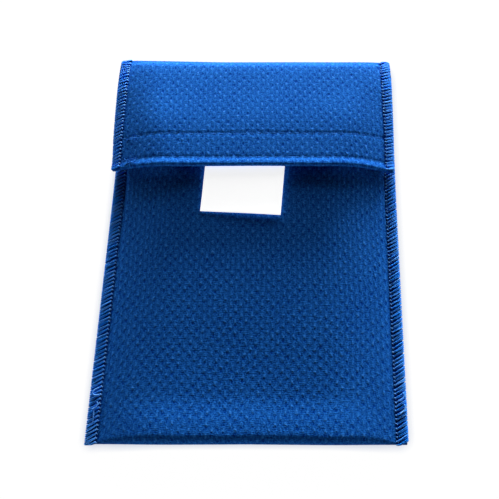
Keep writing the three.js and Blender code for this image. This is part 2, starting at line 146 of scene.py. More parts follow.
def add_node(material, kind, inputs=None, **settings):
    """Adds a shader node of a kind, makes its settings, and fills its sockets or links them."""
    tree = material.node_tree
    node = tree.nodes.new("ShaderNode" + kind)
    for name, value in settings.items():
        setattr(node, name, value)
    for name, value in (inputs or {}).items():
        if isinstance(value, bpy.types.NodeSocket):
            tree.links.new(value, node.inputs[name])
        else:
            node.inputs[name].default_value = value
    return node


def calculate(material, operation, *values, kind="Math", **settings):
    """The result of one operation on sockets and numbers."""
    return add_node(material, kind, dict(enumerate(values)), operation=operation, **settings).outputs[0]


def between(material, share, first, second):
    """A colour between two others."""
    inputs = {0: share, 6: first, 7: second}
    return add_node(material, "Mix", inputs, data_type="RGBA").outputs[2]


def noise(material, place, scale, detail):
    inputs = {"Vector": place, "Scale": scale, "Detail": detail}
    return add_node(material, "TexNoise", inputs).outputs


def bumps(material, height, depth, strength=1.0, **settings):
    """The normal of a bumpy surface; depth is in metres."""
    inputs = {"Strength": strength, "Distance": depth, "Height": height}
    return add_node(material, "Bump", inputs, **settings).outputs[0]


def new_finish(name):
    material = bpy.data.materials.new(name)
    material.use_nodes = True
    material.node_tree.nodes.clear()
    return material


def close_finish(material, kind, inputs):
    shader = add_node(material, kind, inputs).outputs[0]
    add_node(material, "OutputMaterial", {"Surface": shader})
    return material


def marked_place(material, mark):
    return add_node(material, "Attribute", attribute_name=mark).outputs["Vector"]


def wave(material, place, period, way, more):
    """Bands across the cloth one way, which repeat once in the period."""
    inputs = {"Vector": place, "Scale": np.pi / 10 / period, **more}
    return add_node(material, "TexWave", inputs, bands_direction=way).outputs["Fac"]


def dobby_polyester():
    """Royal blue dobby-woven polyester: matt, with faint ribs, and pale floats and dark pits whose paleness
    and darkness are painted light and painted shade.
    """
    made = new_finish("dobby_polyester")
    vectors = "VectorMath"
    place = marked_place(made, "cloth_mm")
    # The threads wander by up to half a millimetre, so that no two floats sit quite alike.
    wander = noise(made, place, 0.45, 1.0)["Color"]
    wander = calculate(made, "MULTIPLY_ADD", wander, (1.2, 1.2, 0), (-0.6, -0.6, 0), kind=vectors)
    woven = calculate(made, "ADD", place, wander, kind=vectors)
    bands = {}
    for name, way, period, shift in (
        ("columns", "X", WEAVE_ACROSS, 0),
        ("rows", "Y", WEAVE_ALONG, 0),
        ("rows_beside", "Y", WEAVE_ALONG, PIT_SHIFT),
        ("ribs", "X", WEAVE_ACROSS / 2, 0),
    ):
        band = wave(made, woven, period, way, {"Phase Offset": np.pi * (1 + 2 * shift)})
        bands[name] = calculate(made, "MULTIPLY_ADD", band, 2.0, -1.0)
    # Each float and pit has its own strength, as the loom and washing leave them.
    pitch = (2 / WEAVE_ACROSS, 2 / WEAVE_ALONG, 0)
    cell = calculate(made, "MULTIPLY_ADD", woven, pitch, (0.5, 0.5, 0), kind=vectors)
    cell = calculate(made, "FLOOR", cell, kind=vectors)
    own = add_node(made, "TexWhiteNoise", {"Vector": cell}, noise_dimensions="2D")
    own = calculate(made, "MULTIPLY_ADD", own.outputs["Value"], 1.2, 0.25)
    marks = []
    for rows, low, high in (("rows", 0.7, 1.9), ("rows_beside", 0.4, 1.6)):
        crossed = calculate(made, "MULTIPLY", bands["columns"], bands[rows])
        narrow = calculate(made, "MULTIPLY_ADD", bands["ribs"], 0.9, crossed)
        mark = add_node(made, "MapRange", {
            "Value": narrow, "From Min": low, "From Max": high,
        }, interpolation_type="SMOOTHSTEP").outputs[0]
        marks.append(calculate(made, "MULTIPLY", mark, own))
    floats, pits = marks
    # Single threads are 0.3 mm apart; they are drawn at 0.65 mm, as coarse as they need to show.
    picks = wave(made, woven, 0.65, "Y", {"Distortion": 1.2, "Detail": 1.0, "Detail Scale": 0.6})
    fuzz = noise(made, place, 1.7, 3.0)["Fac"]
    patches = noise(made, place, 0.06, 2.0)["Fac"]
    # Painted shade: under the overlocking the cloth is darkened where the threads shade it.
    painted_thread_shade = add_node(made, "SeparateXYZ", {0: place}).outputs[2]
    # What each mark of the weave adds to the cloth's height in millimetres, and to its lightness. The pits'
    # darkening is painted shade and the floats' lightening is painted light, for how the raked relief is
    # lit.
    height = calculate(made, "MULTIPLY", floats, 0.03)
    tone = calculate(made, "MULTIPLY_ADD", fuzz, 2.5, -0.94)
    for source, raised, lighter in (
        (pits, -0.045, -0.55),
        (bands["ribs"], 0.03, 0.13),
        (picks, 0.016, 0.18),
        (fuzz, 0.1, 0.0),
        (floats, 0.0, 0.32),
        (patches, 0.0, 0.3),
        (painted_thread_shade, 0.0, -0.3),
    ):
        if raised:
            height = calculate(made, "MULTIPLY_ADD", source, raised, height)
        if lighter:
            tone = calculate(made, "MULTIPLY_ADD", source, lighter, tone)
    bump = bumps(made, height, 0.001)
    tone = add_node(made, "Clamp", {"Value": tone}).outputs[0]
    colour = between(made, tone, linear("#003a94"), linear("#2477d6"))
    # Painted highlight: the floats are coloured paler where they would catch more of the light.
    painted_glint = calculate(made, "MULTIPLY_ADD", fuzz, 1.2, -0.46, use_clamp=True)
    painted_glint = calculate(made, "MULTIPLY", floats, painted_glint)
    colour = between(made, painted_glint, colour, linear("#549aec"))
    return close_finish(made, "BsdfPrincipled", {
        "Base Color": colour, "Roughness": 0.9, "Specular IOR Level": 0.02, "Normal": bump,
        "Sheen Weight": 0.04, "Sheen Roughness": 0.4, "Sheen Tint": linear("#4f9cff"),
    })


def bulked_thread(name, dark, light, fuzz):
    """Bulked polyester thread: soft, with a fine twist and a hairy surface, whose pale edge has the
    strength fuzz. Each strand has its own lightness, which is the third value of its thread_mm."""
    made = new_finish(name)
    place = marked_place(made, "thread_mm")
    along, around, lightness = add_node(made, "SeparateXYZ", {0: place}).outputs
    # The twist repeats every 0.8 mm along the thread; the real one is finer than a pixel.
    turned = calculate(made, "MULTIPLY_ADD", along, 2 * np.pi / 0.8, around)
    twist = calculate(made, "SINE", turned)
    bump = bumps(made, twist, 0.00006, 0.35)
    tone = calculate(made, "MULTIPLY_ADD", twist, 0.06, lightness, use_clamp=True)
    colour = between(made, tone, linear(dark), linear(light))
    return close_finish(made, "BsdfPrincipled", {
        "Base Color": colour, "Roughness": 0.7, "Specular IOR Level": 0.05, "Normal": bump,
        "Sheen Weight": fuzz, "Sheen Roughness": 0.5, "Sheen Tint": linear(light),
    })


def plain_weave(name, dark, light, thread, roughness, relief, sheen, glow=0.0):
    """A plain-woven cloth or tape: crossing threads of one pitch in millimetres. glow is the strength of a
    painted glow, an emission which lifts white tape above its surroundings even in shade."""
    made = new_finish(name)
    place = marked_place(made, "cloth_mm")
    unevenness = {"Distortion": 0.5, "Detail Scale": 0.5}
    warp, weft = [wave(made, place, thread, way, unevenness) for way in "XY"]
    crossed = calculate(made, "MULTIPLY", warp, weft)
    wear = noise(made, place, 0.12, 3.0)["Fac"]
    tone = calculate(made, "MULTIPLY", crossed, 0.6)
    tone = calculate(made, "MULTIPLY_ADD", wear, 0.6, tone, use_clamp=True)
    colour = between(made, tone, linear(dark), linear(light))
    bump = bumps(made, crossed, relief)
    return close_finish(made, "BsdfPrincipled", {
        "Base Color": colour, "Roughness": roughness, "Specular IOR Level": 0.3, "Normal": bump,
        "Sheen Weight": sheen, "Sheen Roughness": 0.4,
        "Emission Color": linear(light), "Emission Strength": glow,
    })


def swollen_gel():
    """Water-swollen polymer crystals: wet, clear grains about 3 mm across."""
    made = new_finish("swollen_gel")
    place = marked_place(made, "cloth_mm")
    grains = add_node(made, "TexVoronoi", {"Vector": place, "Scale": 0.33}, feature="SMOOTH_F1")
    grains = grains.outputs["Distance"]
    bump = bumps(made, grains, 0.0007, invert=True)
    colour = between(made, grains, linear("#dceaf4"), linear("#a9c6da"))
    return close_finish(made, "BsdfPrincipled", {
        "Base Color": colour, "Roughness": 0.18, "IOR": 1.34, "Transmission Weight": 0.55, "Normal": bump,
    })


COVER_FINISH = dobby_polyester()
THREAD_FINISH = bulked_thread("blue_bulked_thread", "#1488ff", "#7cc0ff", 0.2)
SEWING_FINISH = bulked_thread("blue_sewing_thread", "#0b58bc", "#3a8ee6", 0.08)
NAVY_THREAD_FINISH = bulked_thread("navy_spun_thread", "#101d45", "#22397a", 0.08)
TAPE_FINISH = plain_weave("navy_hook_and_loop_tape", "#0d1836", "#1e3268", 0.9, 0.9, 0.00012, 0.1)
# The label's glow of 0.82 is painted light: it keeps the label white in the shade under the hem.
LABEL_FINISH = plain_weave("white_satin_tape", "#eceef0", "#fbfbfb", 0.5, 0.42, 0.00002, 0.05, 0.82)
POUCH_FINISH = plain_weave("navy_poly_cotton", "#152448", "#2c4478", 0.8, 0.88, 0.00008, 0.1)
BINDING_FINISH = plain_weave("navy_binding_tape", "#0f1b3c", "#22386a", 0.6, 0.85, 0.00006, 0.1)
GEL_FINISH = swollen_gel()


# Meshes

def new_piece(name, points, faces, finish, mark, places):
    """Makes a smooth mesh from points in millimetres, and marks their places on cloth or thread."""
    mesh = bpy.data.meshes.new(name)
    mesh.from_pydata((np.asarray(points) * 0.001).tolist(), [], faces)
    attribute = mesh.attributes.new(mark, "FLOAT_VECTOR", "POINT")
    attribute.data.foreach_set("vector", np.asarray(places, np.float32).ravel())
    mesh.polygons.foreach_set("use_smooth", np.ones(len(mesh.polygons), bool))
    mesh.materials.append(finish)
    piece = put_in_scene(name, mesh)
    return piece


def settle(points, skew=SKEW, drift=0.0):
    """Lets points of the stack sink into the empty pocket, and gives them gentle ripples and the
    slight skew of the lying case. drift is the share of the flap's small shift to the left."""
    x, y, z = np.moveaxis(np.asarray(points, float), -1, 0)
    sink = HEM_SINK + np.interp(HEM_EDGE, SPOTS, SPOT_HEIGHTS) - np.interp(y, SPOTS, SPOT_HEIGHTS)
    low = z - sink * clamp((z - POCKET_FLOOR) / POCKET_DEPTH)
    ripple = np.sin(x / 11 + y / 19 + 0.5) * np.sin(y / 14 - x / 37) + 0.6 * np.sin(x / 6.5 - y / 26 + 2)
    shift = FLAP_SHIFT * (1 + clamp(0.5 - x / 114) * clamp((y - HEM_EDGE) / 50))
    spread = 1 + BOTTOM_SPREAD * clamp((15 - y) / 90) - FLAP_NARROWING * drift * clamp((y - 30) / 32)
    corner = CORNER_DROP * np.maximum(x, 0) * clamp(-y / 70)
    return points_of(x * spread + skew * y + drift * shift, y - corner, low * (1 + RIPPLE * ripple))


def settle_flap(points):
    """Settles points of the flap, with its shift and its hem's curl and stretch."""
    x, y, _ = np.moveaxis(np.asarray(points, float), -1, 0)
    placed = settle(points, drift=1.0)
    placed[..., 2] += HEM_CURL * soft((CURL_START - y) / CURL_RUN)
    right_of_end = mix(0.25, 1, soft((x + 60) / 30))
    placed[..., 1] -= HEM_STRETCH * soft((STRETCH_START - y) / STRETCH_RUN) * right_of_end
    return placed


def grid_faces(grid, turned=False):
    """The four-cornered faces between the points of a grid, or the same turned round."""
    first, right, across, left = grid[:-1, :-1], grid[1:, :-1], grid[1:, 1:], grid[:-1, 1:]
    corners = (first, left, across, right) if turned else (first, right, across, left)
    return np.stack(corners, -1).reshape(-1, 4).tolist()


def closed_faces(points, columns, rows, step):
    """The faces of a closed sheet, which look outwards. Its points are a grid of columns x rows,
    then a grid that takes only one of them in each step."""
    top = np.arange(columns * rows).reshape(columns, rows)
    low = top[::step, ::step]
    low = top.size + np.arange(low.size).reshape(low.shape)
    faces = grid_faces(top) + grid_faces(low, turned=True)
    for fine, coarse, turned in (
        (top[:, 0], low[:, 0], False), (top[:, -1], low[:, -1], True),
        (top[0], low[0], True), (top[-1], low[-1], False),
    ):
        for k in range(len(coarse) - 1):
            rim = [*coarse[k:k + 2], *fine[step * k:step * (k + 1) + 1][::-1]]
            faces.append([int(n) for n in (rim[::-1] if turned else rim)])
    # Where they enclose a negative volume, all faces are turned round.
    corners = np.array([face[:4] for face in faces])
    a, b, c, d = (points[corners[:, i]] for i in range(4))
    volume = np.einsum("ij,ij->", a, np.cross(b, c)) + np.einsum("ij,ij->", a, np.cross(c, d))
    return [face[::-1] for face in faces] if volume < 0 else faces


def weave_relief(places):
    """The raised floats, ribs and pits of the cover's weave, in millimetres."""
    u, v = places[..., 0] / WEAVE_ACROSS, places[..., 1] / WEAVE_ALONG
    turn = 2 * np.pi
    ribs = 0.5 + 0.5 * np.cos(2 * turn * u)
    floats = soft((np.cos(turn * u) * np.cos(turn * v) + 0.8 * ribs - 0.8) / 0.95)
    pits = soft((np.cos(turn * u) * np.cos(turn * (v + PIT_SHIFT)) + 0.8 * ribs - 0.95) / 0.75)
    return FLOAT_HEIGHT * floats - PIT_DEPTH * pits + RIB_HEIGHT * ribs


def cloth_places(across, along):
    """The place of each grid point on the flat cloth, with the small wander of sewn pieces.
    The third value is 1 in the strip under the overlocking and 0 elsewhere; the cover's finish paints shade
    there."""
    u, v = np.meshgrid(across, along, indexing="ij")
    wander_u = 0.35 * np.sin(v / 13 + 0.4 * np.sin(u / 17)) + 0.16 * np.sin(v / 4.3 + u / 9)
    wander_v = 0.3 * np.sin(u / 15 + 1.3) + 0.18 * np.sin(u / 5.1 - v / 11)
    return np.stack([u + wander_u, v + wander_v, soft((np.abs(u) - SEAM_FOOT + 0.9) / 1.1)], -1)


def sheet_of_cloth(name, middle, thickness, side, finish, relief=None, start=0.0):
    """A closed sheet: a fine outer face with the weave's relief and a plainer inner face.
    middle holds the cloth's middle line at each station across, and thickness is one number or
    one for each station. side is 1 or -1, the way out. Returns the piece, its stations' distance
    along the cloth, and each point's station."""
    columns, rows = middle.shape[:2]
    steps = np.linalg.norm(np.diff(middle[columns // 2], axis=0), axis=1)
    along = start + np.concatenate([[0], np.cumsum(steps)])
    run = np.gradient(middle, along, axis=1)
    cross = np.gradient(middle, axis=0)
    normal = side * unit(np.cross(cross, run))
    places = cloth_places(middle[:, rows // 2, 0], along)
    raised = relief(places) if relief else np.zeros((columns, rows))
    half = np.asarray(thickness).reshape(-1, 1) / 2
    outer = middle + normal * (half + raised)[..., None]
    inner = (middle - normal * half[..., None])[::2, ::2]
    points = np.concatenate([outer.reshape(-1, 3), inner.reshape(-1, 3)])
    marks = np.concatenate([places.reshape(-1, 3), places[::2, ::2].reshape(-1, 3)])
    faces = closed_faces(points, columns, rows, 2)
    piece = new_piece(name, points, faces, finish, "cloth_mm", marks)
    station = np.tile(np.arange(rows), (columns, 1))
    return piece, along, np.concatenate([station.ravel(), station[::2, ::2].ravel()])


STRAND_SIDES = 6


def tubes(strands, radius, lightness):
    """Points, faces and thread places of many strands; strands is count x stations x 3. radius is
    one number or one for each station, and lightness is the strands' mean, from 0 to 1."""
    strands = np.asarray(strands, float)
    count, stations = strands.shape[:2]
    run = unit(np.gradient(strands, axis=1))
    spread = strands[:, -1] - strands[:, 0]
    bend = strands[:, stations // 2] - (strands[:, 0] + strands[:, -1]) / 2
    plane = np.cross(spread, bend)
    # A straight strand has no plane of its own and is given one.
    weak = np.linalg.norm(plane, axis=1) < 1e-4
    plane[weak] = np.cross(spread[weak], [0.31, 0.17, 0.93])
    second = unit(np.cross(run, np.cross(unit(plane)[:, None, :], run)))
    first = unit(np.cross(second, run))
    angle = np.linspace(0, 2 * np.pi, STRAND_SIDES, endpoint=False)
    size = np.broadcast_to(np.asarray(radius, float), (stations,))[None, :, None, None]
    ring = first[:, :, None] * np.cos(angle)[:, None] + second[:, :, None] * np.sin(angle)[:, None]
    points = strands[:, :, None] + ring * size
    index = np.arange(count * stations * STRAND_SIDES).reshape(count, stations, STRAND_SIDES)
    after = np.roll(index, -1, axis=2)
    faces = np.stack([index[:, :-1], after[:, :-1], after[:, 1:], index[:, 1:]], -1).reshape(-1, 4).tolist()
    faces += index[:, 0, ::-1].tolist() + index[:, -1].tolist()
    steps = np.linalg.norm(np.diff(strands, axis=1), axis=2)
    length = np.concatenate([np.zeros((count, 1)), np.cumsum(steps, axis=1)], axis=1)
    shade = lightness + chance.normal(0, 0.12, (count, 1, 1))
    marks = points_of(length[:, :, None], angle, shade)
    return points.reshape(-1, 3), faces, marks.reshape(-1, 3)


def threads(name, groups, finish):
    """One piece from several groups of strands, each with its radius and lightness."""
    points, faces, marks, count = [], [], [], 0
    for strands, radius, lightness in groups:
        more, rings, places = tubes(strands, radius, lightness)
        faces += [[n + count for n in ring] for ring in rings]
        points.append(more)
        marks.append(places)
        count += len(more)
    points, marks = np.concatenate(points), np.concatenate(marks)
    return new_piece(name, points, faces, finish, "thread_mm", marks)


def unroll(piece, share):
    """Writes each point's share of the way along the cloth into the piece, bakes its transform, and puts the
    points back as they were.
    """
    rest = np.zeros(len(piece.data.vertices) * 3)
    piece.data.vertices.foreach_get("co", rest)
    laid_out = np.zeros((len(piece.data.vertices), 3))
    laid_out[:, 0] = share
    piece.data.vertices.foreach_set("co", laid_out.ravel())
    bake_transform(piece)
    piece.data.vertices.foreach_set("co", rest)
    piece.data.update()
    return piece


# Cover cloth

def cloth_thickness(x):
    return mix(PRESSED_CLOTH, CLOTH, clamp((SEAM_FOOT - np.abs(x)) / 3))


def cover_rise(x, y):
    """The empty body sags far in from its seams, and is held up where the closure grips it."""
    gripped = soft((y - GRIP_START) / GRIP_RUN)
    return rise(SEAM_FOOT - np.abs(x), mix(COVER_SHOULDER, GRIPPED_SHOULDER, gripped))


def flap_rise(x, y=TOP_JOIN):
    """The flap is round across at its hem and flatter towards the top fold."""
    flattened = clamp((y - FLAT_START) / FLAT_RUN)
    return rise(HALF_WIDTH - np.abs(x), mix(FLAP_SHOULDER, FOLD_SHOULDER, flattened))


def back_height(x, y=0.0):
    return mix(SEAM_BACK, BACK_MID, rise(SEAM_FOOT - np.abs(x), BACK_SHOULDER)) + 0 * y


def front_height(x, y):
    lift = soft((y - MOUTH_LIFT) / (MOUTH_HEM - MOUTH_LIFT))
    return mix(SEAM_FRONT, FRONT_CREST, cover_rise(x, y)) + lift * (cloth_thickness(x) + GAP)


def flap_height(x, y):
    slope = soft((y - HEM_RAW - 1) / (TOP_JOIN - HEM_RAW - 1))
    edge = FLAP_EDGE + EDGE_LIFT * clamp((y - FLAT_START) / LIFT_RUN)
    return mix(edge, FLAP_CREST - CREST_FALL * slope, flap_rise(x, y))


def on_surface(height, x, y, offset=0.0):
    """Points on a surface of the stack, moved along its normal by the offset."""
    x, y, offset = np.broadcast_arrays(np.asarray(x, float), y, offset)
    step = 0.01
    slope_x = (height(x + step, y) - height(x - step, y)) / (2 * step)
    slope_y = (height(x, y + step) - height(x, y - step)) / (2 * step)
    normal = unit(np.stack([-slope_x, -slope_y, np.ones_like(x)], -1))
    return points_of(x, y, height(x, y)) + normal * offset[..., None]


HEM_TURN, HEM_LAYER = 9, 15


def turned_hem(height, x, start, shares, edge, raw, way):
    """The cloth's line to a hem, at shares of the way from the start, then the turn at its edge,
    and the layer turned under, to the raw edge."""
    radius = (cloth_thickness(x) + GAP) / 2
    centre = edge - way * (radius + cloth_thickness(x) / 2)
    angle = np.linspace(0, np.pi, HEM_TURN)[None]
    turn = on_surface(height, x, centre + way * radius * np.sin(angle), radius * (np.cos(angle) - 1))
    under = np.linspace(0, 1, HEM_LAYER)[None, 1:]
    layer = on_surface(height, x, mix(centre, raw, under), -2 * radius)
    panel = on_surface(height, x, mix(start, turn[:, 0, 1][:, None], shares))
    return [panel, turn, layer]


ACROSS = np.linspace(-RAW_EDGE, RAW_EDGE, 229)


def odd_stations(line):
    """A cloth's line with an odd count of stations, so that its inner face can skip every other."""
    if line.shape[1] % 2:
        return line
    extra = (line[:, -2:-1] + line[:, -1:]) / 2
    return np.concatenate([line[:, :-1], extra, line[:, -1:]], axis=1)


# The bottom fold: its furthest line lies at this share of its height. Its roll reaches this far in
# from there, at the seams, and in the middle on its lower and its upper side.
FOLD_APEX = 0.42
FOLD_PRESSED, FOLD_BELOW, FOLD_ABOVE = 0.45, 4.8, 4.3


def front_line():
    """From the back join round the bottom fold, over the front, and in at the mouth."""
    x = ACROSS[:, None]
    low, high = back_height(x), front_height(x, BOTTOM_JOIN)
    apex = mix(low, high, FOLD_APEX)
    furthest = -HALF_LENGTH + cloth_thickness(x) / 2
    rounded = rise(SEAM_FOOT - np.abs(x), 13.0)
    reach = mix(FOLD_PRESSED, FOLD_BELOW, rounded)
    puckered = FOLD_ABOVE + 0.2 * np.sin(x / 6.1) + 0.15 * np.sin(x / 2.7 + 1)
    crown = mix(FOLD_PRESSED, puckered, rounded)
    lower = np.linspace(0, np.pi / 2, 10)[None]
    upper = np.sin(np.linspace(np.pi / 2, np.pi, 25)[None, 1:])
    start = mix(BOTTOM_JOIN, furthest + reach, np.linspace(0, 1, 3)[None, :-1])
    parts = [
        points_of(x, start, low),
        points_of(x, furthest + reach * (1 - np.sin(lower)), apex - (apex - low) * np.cos(lower)),
        points_of(x, furthest + crown * (1 - upper), mix(apex, high, np.sqrt(1 - upper ** 3))),
    ]
    panel = mix(furthest + crown, MOUTH_LIFT, np.linspace(0, 1, 257)[None, 1:])
    parts.append(on_surface(front_height, x, panel))
    shares = np.linspace(0, 1, 19)[None, 1:-1]
    parts += turned_hem(front_height, x, MOUTH_LIFT, shares, MOUTH_EDGE, MOUTH_HEM, 1)
    return odd_stations(np.concatenate(parts, axis=1))


def fold_arc(x, angle):
    """The top fold at one angle: 0 on the back, a right angle at its furthest, a half turn on the flap."""
    low, high = back_height(x), flap_height(x, TOP_JOIN)
    reach = mix(1.9, 5.2, flap_rise(x))
    corner = mix(77.6, 76.9, clamp(0.5 + x / 114))
    furthest = mix(corner, 77.7 - cloth_thickness(x) / 2, flap_rise(x)) + 0.8 * soft((-x - 10) / 40)
    middle, half = (low + high) / 2, (high - low) / 2
    return points_of(x, furthest - reach + reach * np.sin(angle), middle - half * np.cos(angle))


BACK_STEPS, FLAP_STEPS = 180, 91


def back_line(x):
    """From the bottom join over the back to the top fold's furthest line. With it come each
    station's share of the flap's shift, and the station where the top fold joins."""
    panel = on_surface(back_height, x, np.linspace(BOTTOM_JOIN, TOP_JOIN, BACK_STEPS)[None])
    foot = fold_arc(x, np.zeros((1, 1)))
    flat = mix(panel[:, -1:], foot, np.linspace(0, 1, 3)[None, 1:-1, None])
    arc = fold_arc(x, np.linspace(0, np.pi / 2, 14)[None])
    drift = np.concatenate([np.zeros(BACK_STEPS), soft(np.linspace(0, 1, 15))])
    return np.concatenate([panel, flat, arc], axis=1), drift, BACK_STEPS - 1


def flap_line(x):
    """From the top fold's furthest line over the flap and round its hem, and the join's station."""
    arc = fold_arc(x, np.linspace(np.pi / 2, np.pi, 18)[None])
    join = on_surface(flap_height, x, np.full((1, 1), TOP_JOIN))
    flat = mix(arc[:, -1:], join, np.linspace(0, 1, 3)[None, 1:-1, None])
    shares = np.linspace(0, 1, FLAP_STEPS)[None, :-1]
    hem = turned_hem(flap_height, x, TOP_JOIN, shares, HEM_EDGE, HEM_RAW, -1)
    return np.concatenate([arc, flat, *hem], axis=1), arc.shape[1] + flat.shape[1]


def front_relief(places):
    """The front's weave, which is drawn smoother where the cloth is pulled round the bottom fold."""
    return weave_relief(places) * mix(0.3, 1, soft((places[..., 1] - 10) / 24))


def hem_relief(places, along_at):
    """The flap's weave, drawn down along its two rows of stitches."""
    raised = weave_relief(places)
    pucker = 0.75 + 0.25 * np.cos(2 * np.pi * places[..., 0] / HEM_STITCH)
    for row in HEM_ROWS:
        raised = raised - 0.2 * pucker * np.exp(-((along_at - row) / 0.75) ** 2)
    return raised


def make_cover():
    """The cover's three lengths of cloth, which meet at the back join and along the top fold."""
    thickness = cloth_thickness(ACROSS)
    front_cloth, along, _ = sheet_of_cloth(
        "front_and_bottom_fold_cloth", settle(front_line()), thickness, 1, COVER_FINISH,
        front_relief)
    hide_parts("front_panel")
    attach(front_cloth, "outer_cover")

    x = np.linspace(-RAW_EDGE, RAW_EDGE, 153)[:, None]
    line, drift, join = back_line(x)
    back_cloth, along, station = sheet_of_cloth(
        "back_and_fold_cloth", settle(line, drift=drift), cloth_thickness(x[:, 0]), -1, COVER_FINISH,
        weave_relief)
    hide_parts("back_panel")
    share = clamp((along - along[join]) / (along[-1] - along[join]))
    unroll(back_cloth, share[station])

    line, join = flap_line(ACROSS[:, None])
    line = odd_stations(line)
    place = line[..., 1].copy()
    # The layer turned under is out of reach of the stitches' dents.
    place[:, -HEM_LAYER - HEM_TURN // 2:] = HEM_EDGE - 20
    flap_cloth, along, station = sheet_of_cloth(
        "flap_and_fold_cloth", settle_flap(line), thickness, -1, COVER_FINISH,
        lambda places: hem_relief(places, place), start=2.0)
    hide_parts("flap_panel", "top_fold")
    share = clamp((along - along[0]) / (along[join] - along[0]))
    unroll(flap_cloth, share[station])


# Overlocked edges

STITCH_PITCH = 1.5
# The thread is drawn tight where the needle holds it and lies loose round the edge.
THREAD_RADIUS = np.array([0.24, 0.25, 0.26, 0.28, 0.32, 0.34, 0.33, 0.3, 0.28])
NEEDLE_THREAD_RADIUS = 0.24
# The needle thread is the same thread as the loops; its paler lightness is a painted highlight where it
# stands high and catches the light.
LOOP_LIGHTNESS, NEEDLE_PAINTED_LIGHTNESS = 0.16, 0.7
# How far the middle of the threads stands off the middle of the cloth that they wrap.
BODY_LIP, FLAP_LIP, POUCH_LIP = 0.85, 0.55, 0.95


class Edge:
    """An edge to be overlocked: its line, the way in over the cloth, and the way out of its face."""

    def __init__(self, outer, inner, face, lips):
        steps = np.linalg.norm(np.diff(outer, axis=0), axis=1)
        self.along = np.concatenate([[0], np.cumsum(steps)])
        self.line = outer
        self.inward = unit(inner - outer)
        run = unit(np.gradient(outer, axis=0))
        normal = unit(np.cross(run, self.inward))
        self.normal = normal * np.sign(normal[0] @ np.asarray(face, float))
        self.lips = np.broadcast_to(np.asarray(lips, float), (len(outer), 2))

    def at(self, v, values):
        return np.stack([np.interp(v, self.along, column) for column in values.T], -1)

    def place(self, v, inward, height):
        """Points at a distance along the edge, in from it, and over (1) or under (-1) the lips."""
        lips = self.at(v, self.lips)
        up = np.where(height >= 0, lips[..., 0] * height, lips[..., 1] * height)
        return (self.at(v, self.line) + self.at(v, self.inward) * inward[..., None]
                + self.at(v, self.normal) * up[..., None])


def overlock(edge, slant, width):
    """The threads of an overlocked edge. Each stitch has a pair of strands that slant over the
    face, a pair under it, and a short needle stitch along its inner side."""
    first, last = edge.along[0] - 0.5 * max(slant, 0), edge.along[-1] + 0.5 * max(-slant, 0)
    count = round((last - first) / STITCH_PITCH)
    starts = first + (np.arange(count) + 0.5) * (last - first) / count + chance.normal(0, 0.09, count)
    # The strands' way from the needle's holes over the face and round the edge.
    inward = np.array([width + 0.05, width - 0.2, 3.1, 2.2, 1.35, 0.8, 0.42, 0.24, 0.22])
    height = np.array([0.55, 1.06, 1.16, 1.18, 1.12, 0.98, 0.68, 0.3, -0.05])
    path = clamp((width - inward) / width)
    strands, shares = [], []
    for face in (1, -1):
        for pair in (-1, 1):
            bow = chance.normal(0, 0.05, (len(starts), 1))
            v = starts[:, None] + slant * path + pair * mix(0.1, 0.36, path) + bow * np.sin(np.pi * path)
            v = np.clip(v, edge.along[0], edge.along[-1])
            lift = 1 + chance.normal(0, 0.035, (len(starts), 1))
            strands.append(edge.place(v, inward, face * height * lift))
            shares.append(v)
    loops, loop_v = np.concatenate(strands), np.concatenate(shares)
    needle_in = width + np.array([0.3, 0.22, 0.0, -0.18, -0.2])
    needle_high = np.array([0.7, 1.05, 1.14, 1.12, 0.85])
    v = starts[:, None] + np.array([0.3, 0.2, 0.0, -0.15, -0.2]) * np.sign(slant)
    v = np.clip(v, edge.along[0], edge.along[-1])
    return loops, loop_v, edge.place(v, needle_in, needle_high), v


def overlocked_edge(name, edge, slant, node, width=SEAM_WIDTH):
    """Threads round an edge as one piece, and how far along the edge each of its points lies."""
    loops, loop_v, needles, needle_v = overlock(edge, slant, width)
    groups = [
        (loops, THREAD_RADIUS, LOOP_LIGHTNESS),
        (needles, NEEDLE_THREAD_RADIUS, NEEDLE_PAINTED_LIGHTNESS),
    ]
    piece = threads(name, groups, THREAD_FINISH)
    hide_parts(node)
    v = np.repeat(np.concatenate([loop_v.ravel(), needle_v.ravel()]), STRAND_SIDES)
    return piece, v


def body_edge(side):
    """A side edge of the body, whose upper lip is higher where the mouth's hem doubles the cloth."""
    y = np.arange(-HALF_LENGTH, TOP_JOIN + 0.5, 0.5)
    lift = soft((y - MOUTH_LIFT) / (MOUTH_HEM - MOUTH_LIFT)) * (PRESSED_CLOTH + GAP)
    outer = points_of(side * HALF_WIDTH, y, SEAM_MID)
    inner = outer - [side * SEAM_WIDTH, 0, 0]
    lips = np.stack([BODY_LIP + lift, np.full_like(y, BODY_LIP)], -1)
    return Edge(settle(outer), settle(inner), (0, 0, 1), lips)


